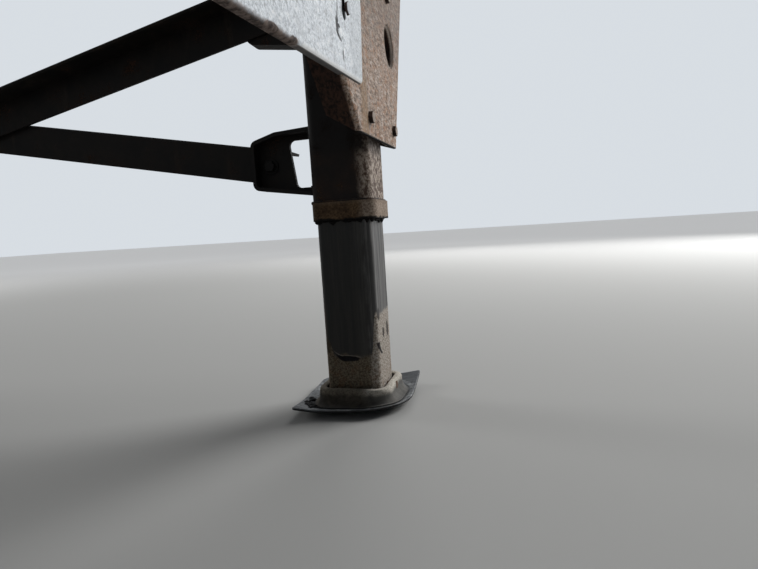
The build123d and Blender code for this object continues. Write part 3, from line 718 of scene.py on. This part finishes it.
# Corner radii of the shoe, by outboard (1) or inboard (-1) and front (1) or rear (-1), anticlockwise
shoe_corners = {(1, 1): 0.006, (-1, 1): 0.045, (-1, -1): 0.006, (1, -1): 0.1}


def shoe_outline(steps=200):
    """The shoe from above, about its centre: quarter circles at the corners, then evenly spaced points."""
    half = shoe_size / 2
    turn = np.linspace(0, np.pi / 2, 25)
    corners = []
    for quarter, (corner, radius) in enumerate(shoe_corners.items()):
        angle = turn + quarter * np.pi / 2
        centre = (half - radius) * corner
        corners.append(centre + radius * np.stack([np.cos(angle), np.sin(angle)], -1))
    loop = np.concatenate(corners)
    loop = np.concatenate([loop, loop[:1]])
    reach = np.concatenate([[0], np.cumsum(np.linalg.norm(np.diff(loop, axis=0), axis=1))])
    even = np.linspace(0, reach[-1], steps + 1)[:-1]
    spots = np.unique(np.concatenate([even, reach[:-1]]))
    return np.stack([np.interp(spots, reach, loop[:, 0]), np.interp(spots, reach, loop[:, 1])], -1)


def dish(flat):
    """Height of the dish's underside: flat in the middle, an even slope outside, with a soft bend.

    Inboard it is pressed flatter: there the slope is less, and the distance is the cube root of the
    sum of cubes instead of the square root of the sum of squares.
    """
    inboard = step(-flat[..., 0], 0.0, 0.08)
    round_reach = np.linalg.norm(flat, axis=-1)
    boxy_reach = (np.abs(flat) ** 3).sum(-1) ** (1 / 3)
    over = round_reach + (boxy_reach - round_reach) * inboard - dish_flat
    slope = dish_slope + (inboard_slope - dish_slope) * inboard
    return slope * (over + np.sqrt(over ** 2 + dish_bend ** 2)) / 2


def on_leg(flat, sign):
    """From the shoe's own plan to the frame's, turned and shifted, and mirrored for the left leg."""
    cos, sin = np.cos(shoe_turn), np.sin(shoe_turn)
    x = flat[..., 0] * cos - flat[..., 1] * sin + shoe_centre[0]
    y = flat[..., 0] * sin + flat[..., 1] * cos + shoe_centre[1]
    return np.stack([sign * (leg_x + x), y], -1)


def off_leg(place):
    """From a place about the right leg's centre to the shoe's own plan: the turn and shift undone."""
    cos, sin = np.cos(shoe_turn), np.sin(shoe_turn)
    away = place - shoe_centre
    return np.stack([away[..., 0] * cos + away[..., 1] * sin, away[..., 1] * cos - away[..., 0] * sin], -1)


def dish_top(place):
    """Height above the floor of the shoe's upper face, at places about the right leg's centre."""
    return dish(off_leg(place)) + shoe_thick


def shoe(side):
    """The dished shoe plate as one closed shell.

    Rings grow from the centre to the outline, over the top and back under. Height is the dish plus
    slow waves towards the rim. The zone attribute is 0 on top, 1 along the rim and 2 underneath.
    """
    sign = sides[side]
    outline = shoe_outline()
    rings = np.linspace(0.0, 1.0, 46) ** 0.75
    flat = rings[:, None, None] * outline
    place = raised(flat, 0.0)
    rim = step(np.linalg.norm(flat, axis=-1), 0.085, 0.14)
    under = dish(flat) + 0.0009 * waves(place, 0.1, 11 if sign > 0 else 17) * rim
    under = np.maximum(under, 0.0002)
    wear = 0.001 * step(rings, 0.975, 1.0)[:, None]
    heights = np.concatenate([under + shoe_thick - wear, (under + wear)[::-1]])
    plan = on_leg(np.concatenate([flat, flat[::-1]]), sign)
    points = raised(plan, heights + floor_z)
    top_zone = np.broadcast_to(step(rings, 0.93, 1.0)[:, None], under.shape)
    zone = np.concatenate([top_zone, np.full_like(under, 2.0)])
    faces = grid_faces(len(points), outline.shape[0])
    name = f"shoe_dished_{side}"
    piece = make_piece(name, points, faces, f"foot_{side}", finishes["shoe_steel"], zone=zone)
    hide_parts(f"shoe_plate_{side}")


# The socket's section: half-width, corner radius, height above the floor and lift above the dish in
# millimetres, and the zone
socket_section = np.array([
    (64.0, 19.6, 8.0, 0.5, 1.0),
    (64.0, 19.6, 30.0, 0.5, 1.0),
    (63.8, 19.6, 46.0, 0.5, 1.0),
    (64.2, 20.0, 49.6, 0.5, 0.4),
    (65.5, 21.2, 51.2, 0.5, 0.0),
    (70.0, 25.5, 51.6, 0.5, 0.0),
    (74.2, 29.2, 51.4, 0.5, 0.0),
    (77.2, 31.8, 49.8, 0.5, 0.0),
    (78.9, 33.4, 46.4, 1.0, 0.0),
    (79.3, 33.8, 40.0, 1.6, 0.0),
    (79.6, 34.1, 33.0, 2.2, 0.0),
    (80.3, 35.2, 29.2, 2.6, 0.0),
    (82.6, 39.0, 25.2, 3.0, 0.0),
    (86.2, 45.0, 21.5, 3.4, 0.0),
    (90.2, 52.0, 18.8, 3.6, 0.0),
    (93.2, 57.5, 16.8, 3.4, 0.0),
    (94.9, 60.0, 13.5, 2.6, 0.2),
    (95.2, 60.2, 6.0, 0.4, 0.8),
    (90.0, 56.0, 6.0, 0.2, 1.0),
    (70.0, 26.0, 6.0, 0.2, 1.0),
]) / (1000, 1000, 1000, 1000, 1)


def socket(side):
    """The pressed socket as one closed shell, on the dish and round the tube.

    Each ring is a rounded square whose size runs smoothly down the section's rows, and its height
    is the row's or the dish's top plus the row's lift, whichever is more, moved by small waves.
    """
    sign = sides[side]
    rows = np.arange(len(socket_section))
    fine = np.linspace(0, len(rows) - 1, 4 * (len(rows) - 1) + 1)
    section = np.stack([np.interp(fine, rows, column) for column in socket_section.T], -1)
    for _ in range(3):
        section[1:-1] = (section[:-2] + 2 * section[1:-1] + section[2:]) / 4
    half, corner, height, lift, zone = section.T
    rings = np.stack([square_ring(*pair, 12, 24) for pair in zip(half, corner)])
    place = raised(rings, height[:, None])
    seed = 41 if sign > 0 else 47
    swell = 0.0005 * waves(place, 0.045, seed) + 0.0002 * waves(place, 0.014, seed + 1)
    body = (1 - zone)[:, None]
    rings = rings * (1 + (swell * body)[..., None] / 0.08)
    level = np.maximum(height[:, None] + swell * body, dish_top(rings) + lift[:, None])
    points = raised(rings, level + floor_z)
    points[..., 0] = sign * (leg_x + points[..., 0])
    faces = grid_faces(len(rings), rings.shape[1], wrap_rows=True)
    zones = np.broadcast_to(zone[:, None], level.shape)
    name = f"socket_pressed_{side}"
    piece = make_piece(name, points, faces, f"foot_{side}", socket_finish, zone=zones)
    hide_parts(f"foot_socket_{side}")


def hexagon_reach(angle):
    """Centre-to-edge distance of a hexagon, across flats 1, in each direction."""
    sixth = np.pi / 3
    return 0.5 / np.cos((angle + sixth / 2) % sixth - sixth / 2)


def bolts(name, places, axes, flats=0.024, height=0.013, washer=0.019, shank=0.0, slot="worn_steel",
          thick=0.003, tilt=30.0):
    """Hexagon heads or nuts on washers, as rings of points on each axis, all in one piece.

    A ring's radius is the hexagon's, cut off by a circle near the top for the chamfer; below come
    the washer's rings, and above, on a nut, those of the bolt's end. All turn by the tilt, in
    degrees, and by up to five more, a sine of their number.
    """
    places = np.asarray(places, float)
    axes = np.broadcast_to(np.asarray(axes, float), places.shape)
    angle = np.linspace(0, 2 * np.pi, 24, endpoint=False)
    hexagon = hexagon_reach(angle) * flats
    rings = [(0.0, height + shank)]
    if shank:
        rings += [(flats * 0.28, height + shank), (flats * 0.32, height + shank - 0.002)]
        rings += [(flats * 0.32, height)]
    rings += [(flats * 0.46, height), (flats * 0.55, height - flats * 0.03), (9.0, height - flats * 0.06)]
    if washer:
        rings += [(9.0, thick), (washer * 0.97, thick), (washer, thick * 0.8), (washer, 0.0)]
    else:
        rings += [(9.0, 0.0)]
    rings += [(0.0, 0.0)]
    limit = np.array([ring[0] for ring in rings])[:, None]
    level = np.array([ring[1] for ring in rings])[:, None] + 0 * angle
    round_rings = (limit > flats * 0.6) & (limit < 1.0)
    radius = np.where(round_rings, limit, np.minimum(hexagon, limit))
    helper = np.where(np.abs(axes[:, 2:]) > 0.9, [[1.0, 0, 0]], [[0, 0, 1.0]])
    side = np.cross(axes, helper)
    up = np.cross(side, axes)
    turn = angle + np.radians(tilt + 5 * np.sin(2.4 * np.arange(len(places))))[:, None, None]
    places, axes, side, up = (rows[:, None, None, :] for rows in (places, axes, side, up))
    points = places + axes * level[None, ..., None] + side * (radius * np.cos(turn))[..., None]
    points = points + up * (radius * np.sin(turn))[..., None]
    count = len(rings) * len(angle)
    faces = grid_faces(len(rings), len(angle))
    faces = (np.arange(len(places))[:, None, None] * count + faces).reshape(-1, 4)
    face = (level[:, :1] > height - 0.00001) * (limit < flats * 0.47) * (shank == 0)
    # Zone 0.28 marks the upper half of each head's sides, for painted light.
    zone = np.maximum(face, 0.28 * step(np.sin(turn), -0.3, 0.3))
    make_piece(name, points, faces, "frame_side", bolt_finishes[slot], smooth=False, zone=zone)


# Bolts, forward of the leg's centre and above the floor: the leg's in the hanger, and the gusset's
leg_bolt_places = ((-0.094, 0.587), (0.112, 0.594), (-0.094, 0.882), (0.112, 0.882))
gusset_bolt_places = ((-0.24, 0.7274), (-0.243, 0.903), (-0.243, 1.076), (-0.4, 0.912), (-0.4, 1.068))


def bead_shape(path, radius, closed, seed, ripple=0.0065, around=8):
    """A weld bead along a path: a round section whose radius swells once every ripple of length."""
    path = np.asarray(path, float)
    if closed:
        path = np.concatenate([path, path[:1]])
    reach = np.concatenate([[0], np.cumsum(np.linalg.norm(np.diff(path, axis=0), axis=1))])
    count = int(reach[-1] / ripple * 4)
    spots = np.linspace(0, reach[-1], count + 1)
    if closed:
        spots = spots[:-1]
    line = np.stack([np.interp(spots, reach, path[:, axis]) for axis in range(3)], -1)
    ahead = np.roll(line, -1, 0) - np.roll(line, 1, 0)
    if not closed:
        ahead[0], ahead[-1] = line[1] - line[0], line[-1] - line[-2]
    ahead = unit(ahead)
    helper = np.where(np.abs(ahead[:, 2:]) > 0.8, [[1.0, 0, 0]], [[0, 0, 1.0]])
    side = unit(np.cross(ahead, helper))
    up = np.cross(side, ahead)
    swell = 0.86 + 0.16 * np.abs(np.sin(np.pi * spots / ripple)) + 0.07 * waves(line, 0.02, seed)
    if not closed:
        swell = swell * np.clip(np.minimum(spots, reach[-1] - spots) / radius, 0, 1) ** 0.5
    angle = np.linspace(0, 2 * np.pi, around, endpoint=False)
    points = line[:, None, :] + (side[:, None, :] * np.cos(angle)[:, None]
                                 + up[:, None, :] * np.sin(angle)[:, None]) * (radius * swell)[:, None, None]
    return points, grid_faces(len(line), around, wrap_rows=closed)


def beads(name, paths, radius=0.0035, closed=True):
    """Several beads joined in one piece."""
    all_points, all_faces, start = [], [], 0
    for index, path in enumerate(paths):
        points, faces = bead_shape(path, radius, closed, index + 1)
        all_points.append(points.reshape(-1, 3))
        all_faces.append(faces + start)
        start += points.shape[0] * points.shape[1]
    points, faces = np.concatenate(all_points), np.concatenate(all_faces)
    make_piece(name, points, faces, "frame_side", weld_finish, merge=tiny)


def leg_welds(side):
    """Beads round the collar's and the cap's joints, and upright ones along the leg's flange."""
    sign = sides[side]
    ring = square_ring(tube_half + 0.001, 0.02) + (sign * leg_x, 0)
    beads(f"tube_welds_{side}", [raised(ring, z) for z in (collar_high[2] + 0.0005, tube_high[2] - 0.0015)])
    flange_low, flange_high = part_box(f"leg_flange_{side}")
    face = sign * (leg_x + tube_half)
    lines = []
    for y in (-tube_half + 0.016, tube_half - 0.016):
        lines.append([(face, y, flange_low[2] + 0.004), (face, y, flange_high[2] - 0.004)])
    beads(f"flange_welds_{side}", lines, radius=0.005, closed=False)


def bracket_welds(side):
    """Short beads where each bracket's plate and ribs meet the leg."""
    sign = sides[side]
    face = sign * (leg_x - tube_half)
    lines = []
    for node in (f"bracket_low_{side}", f"bracket_high_{side}"):
        low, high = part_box(node)
        for z in (low[2], high[2]):
            lines.append([(face, low[1] + 0.001, z), (face, high[1] - 0.001, z)])
    beads(f"bracket_welds_{side}", lines, radius=0.0042, closed=False)


def grease_skirt(side):
    """The ragged rim of old grease that the collar has wiped off the inner tube.

    A ring between the collar's lower face and the tube, whose lower edge hangs by a wavy amount.
    """
    sign = sides[side]
    ring = square_ring(inner_half, inner_corner, 12, 30)
    outward = unit(square_ring(1.0, 0.3, 12, 30))
    place = raised(ring, 0.0)
    hang = 0.0045 + 0.003 * waves(place, 0.016, 23) + 0.0016 * waves(place, 0.006, 29)
    hang = np.maximum(hang, 0.0008)
    bulge = 0.0045 + 0.0012 * waves(place, 0.012, 31)
    sections = [(0.0006, 0.0), (1.0, 0.0), (0.95, 0.45), (0.55, 0.9), (0.0006, 1.0)]
    rows = []
    for out, down in sections:
        flat = ring + outward * (0.0006 + bulge * out)[:, None]
        rows.append(raised(flat, collar_low[2] - hang * down))
    points = np.stack(rows)
    points[..., 0] += sign * leg_x
    faces = grid_faces(len(rows), len(ring), wrap_rows=True)
    make_piece(f"grease_skirt_{side}", points, faces, "frame_side", grease_finish)


def clods(spots, seed):
    """Lumps of caked dirt, as points and faces: flattened balls whose radius is moved by waves."""
    rows, columns = 9, 14
    polar = np.linspace(0, np.pi, rows)[:, None]
    around = np.linspace(0, 2 * np.pi, columns, endpoint=False)[None, :]
    ball = np.stack([np.sin(polar) * np.cos(around), np.sin(polar) * np.sin(around),
                     np.cos(polar) + 0 * around], -1)
    all_points, all_faces = [], []
    for index, (x, y, z, size, squat) in enumerate(spots):
        lump = ball * size * (1 + 0.22 * waves(ball, 1.1, seed + index))[..., None] * (1, 1, squat)
        all_points.append((lump + (x, y, z)).reshape(-1, 3))
        all_faces.append(grid_faces(rows, columns) + index * rows * columns)
    return np.concatenate(all_points), np.concatenate(all_faces)


# Patches of dirt on the shoe: where from and to about the leg's centre, spread, lumps, size
dirt_patches = (
    ((-0.106, -0.022), (-0.101, -0.036), 0.0022, 14, 0.0042),
    ((-0.104, -0.052), (-0.086, -0.082), 0.0048, 40, 0.0044),
    ((-0.088, -0.082), (-0.04, -0.09), 0.0018, 34, 0.0026),
    ((0.06, -0.08), (0.098, -0.02), 0.0014, 16, 0.0018),
    ((-0.098, 0.01), (-0.096, 0.06), 0.006, 14, 0.003),
    ((-0.06, 0.112), (0.05, 0.116), 0.005, 22, 0.0032),
)


def dirt(side):
    """Lumps scattered at random along each patch, half sunk in the plate."""
    random = np.random.default_rng(7 if side == "right" else 8)
    spots = []
    for start, end, spread, count, size in dirt_patches:
        along = random.uniform(0, 1, (count, 1))
        place = np.array(start) * (1 - along) + np.array(end) * along
        place += random.normal(0, spread, (count, 2))
        sizes = size * random.uniform(0.6, 1.4, count)
        x = sides[side] * (leg_x + place[:, 0])
        z = floor_z + dish_top(place) + sizes * 0.1
        spots += zip(x, place[:, 1], z, sizes, random.uniform(0.45, 0.8, count))
    points, faces = clods(spots, 90 if side == "right" else 190)
    name = f"shoe_dirt_{side}"
    make_piece(name, points, faces, f"foot_{side}", grease_finish, merge=tiny)


def hanger_bolts(side):
    """The leg's bolts through the hanger, with their nuts behind, and the gusset's in their slots."""
    sign = sides[side]
    web = sign * hanger_outer_x
    heads = [(web, y, floor_z + z) for y, z in leg_bolt_places]
    bolts(f"leg_bolts_{side}", heads, (sign, 0, 0), flats=0.0205, height=0.008, washer=0)
    inner = sign * (leg_x + tube_half)
    nuts = [(inner, y, floor_z + z) for y, z in leg_bolt_places]
    bolts(f"leg_nuts_{side}", nuts, (-sign, 0, 0), height=0.014, shank=0.01)
    places = [(sign * gusset_face_x, y, floor_z + z) for y, z in gusset_bolt_places]
    bolts(f"gusset_bolts_{side}", places, (sign, 0, 0), 0.0185, 0.008, washer=0.004, slot="galvanised",
          thick=0.004, tilt=0)


dress_nodes()
for side in sides:
    inner_tube(side)
    shoe(side)
    socket(side)
    dirt(side)
    leg_welds(side)
    bracket_welds(side)
    grease_skirt(side)
    hanger_bolts(side)


brace_bolt_inset = 0.17    # from the leg's centre


def brace_bolts():
    """One bolt at each end of each brace: its head on one side of the bracket, its nut on the other."""
    heads, ends = [], []
    for side, sign in sides.items():
        for node in (f"bracket_low_{side}", f"bracket_high_{side}"):
            low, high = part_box(node)
            x = sign * (leg_x - brace_bolt_inset)
            z = (low[2] + high[2]) / 2
            rearward = low[1] < -0.02
            heads.append((x, -0.008 if rearward else 0.0, z, -1 if rearward else 1))
            ends.append((x, 0.006 if rearward else -0.014, z, 1 if rearward else -1))
    groups = ((heads, "brace_bolt_heads", 0.012, 0.0), (ends, "brace_nuts", 0.014, 0.008))
    for group, name, height, shank in groups:
        places = [row[:3] for row in group]
        axes = [(0, row[3], 0) for row in group]
        bolts(name, places, axes, 0.022, height, 0.018, shank, slot="brace_paint")


brace_bolts()


def studio():
    """A plain pale floor and backdrop, and soft lamps: the main one outboard of the right leg."""
    plane = bpy.data.meshes.new("floor")
    reach = 40.0    # half the floor's width
    corners = [(x * reach, y * reach, floor_z) for x, y in ((-1, -1), (1, -1), (1, 1), (-1, 1))]
    plane.from_pydata(corners, [], [(0, 1, 2, 3)])
    floor = place_in_scene("floor", plane)
    mat = Finish("pale floor")
    mat.color = tone(184, 184, 182)
    mat.coat(0.95, specular=0.1)
    away = (mat.x * mat.x + mat.y * mat.y) ** 0.5
    glow = mat.blend(away, 2.5, 10.0, (0, 0, 0), (176, 177, 178))
    mat.feed(mat.shader.inputs["Emission Color"], glow)
    mat.feed(mat.shader.inputs["Emission Strength"], 1.0)
    plane.materials.append(mat.material)
    lamps = [
        ("main lamp", (5.5, 4.6, 2.4), (1.0, 0.0, -0.6), 4.5, 470.0),
        ("front lamp", (0.5, 6.5, 2.4), (0.0, 0.0, -0.6), 4.0, 150.0),
        ("left lamp", (-6.5, 1.5, 2.0), (-1.0, 0.0, -0.6), 3.0, 160.0),
    ]
    for name, place, target, size, power in lamps:
        lamp = bpy.data.lights.new(name, "AREA")
        lamp.shape = "DISK"
        lamp.size = size
        lamp.energy = power
        turn = (Vector(target) - Vector(place)).to_track_quat("-Z", "Y").to_matrix().to_4x4()
        place_in_scene(name, lamp).matrix_world = Matrix.Translation(place) @ turn
    world = bpy.data.worlds.new("studio")
    world.use_nodes = True
    scene.world = world
    tree = world.node_tree
    background = tree.nodes["Background"]
    background.inputs["Color"].default_value = tone(226, 232, 238)
    path = tree.nodes.new("ShaderNodeLightPath")
    seen = tree.nodes.new("ShaderNodeMath")
    seen.operation = "MAXIMUM"
    tree.links.new(path.outputs["Is Camera Ray"], seen.inputs[0])
    tree.links.new(path.outputs["Is Glossy Ray"], seen.inputs[1])
    strength = tree.nodes.new("ShaderNodeMapRange")
    strength.inputs["To Min"].default_value = 0.07
    strength.inputs["To Max"].default_value = 0.9
    tree.links.new(seen.outputs[0], strength.inputs["Value"])
    tree.links.new(strength.outputs[0], background.inputs["Strength"])


def camera():
    """The photograph's camera: low behind the right leg, outboard of it, turned left and a little down."""
    place = Vector((leg_x + 0.332, -1.083, floor_z + 0.377))
    yaw, pitch, roll = (np.radians(angle) for angle in (14.45, 6.00, 3.58))
    forward = np.array([-np.sin(yaw) * np.cos(pitch), np.cos(yaw) * np.cos(pitch), -np.sin(pitch)])
    level = np.array([np.cos(yaw), np.sin(yaw), 0])
    upright = np.cross(level, forward)
    right = level * np.cos(roll) - upright * np.sin(roll)
    up = level * np.sin(roll) + upright * np.cos(roll)
    lens = bpy.data.cameras.new("camera")
    lens.sensor_width = 36.0
    lens.lens = 25.0
    lens.clip_start = 0.01
    lens.clip_end = 200
    turn = Matrix(np.stack([right, up, -forward], -1).tolist()).to_4x4()
    holder = place_in_scene("camera", lens)
    holder.matrix_world = Matrix.Translation(place) @ turn
    scene.camera = holder


studio()
camera()
scene.view_settings.view_transform = "Standard"
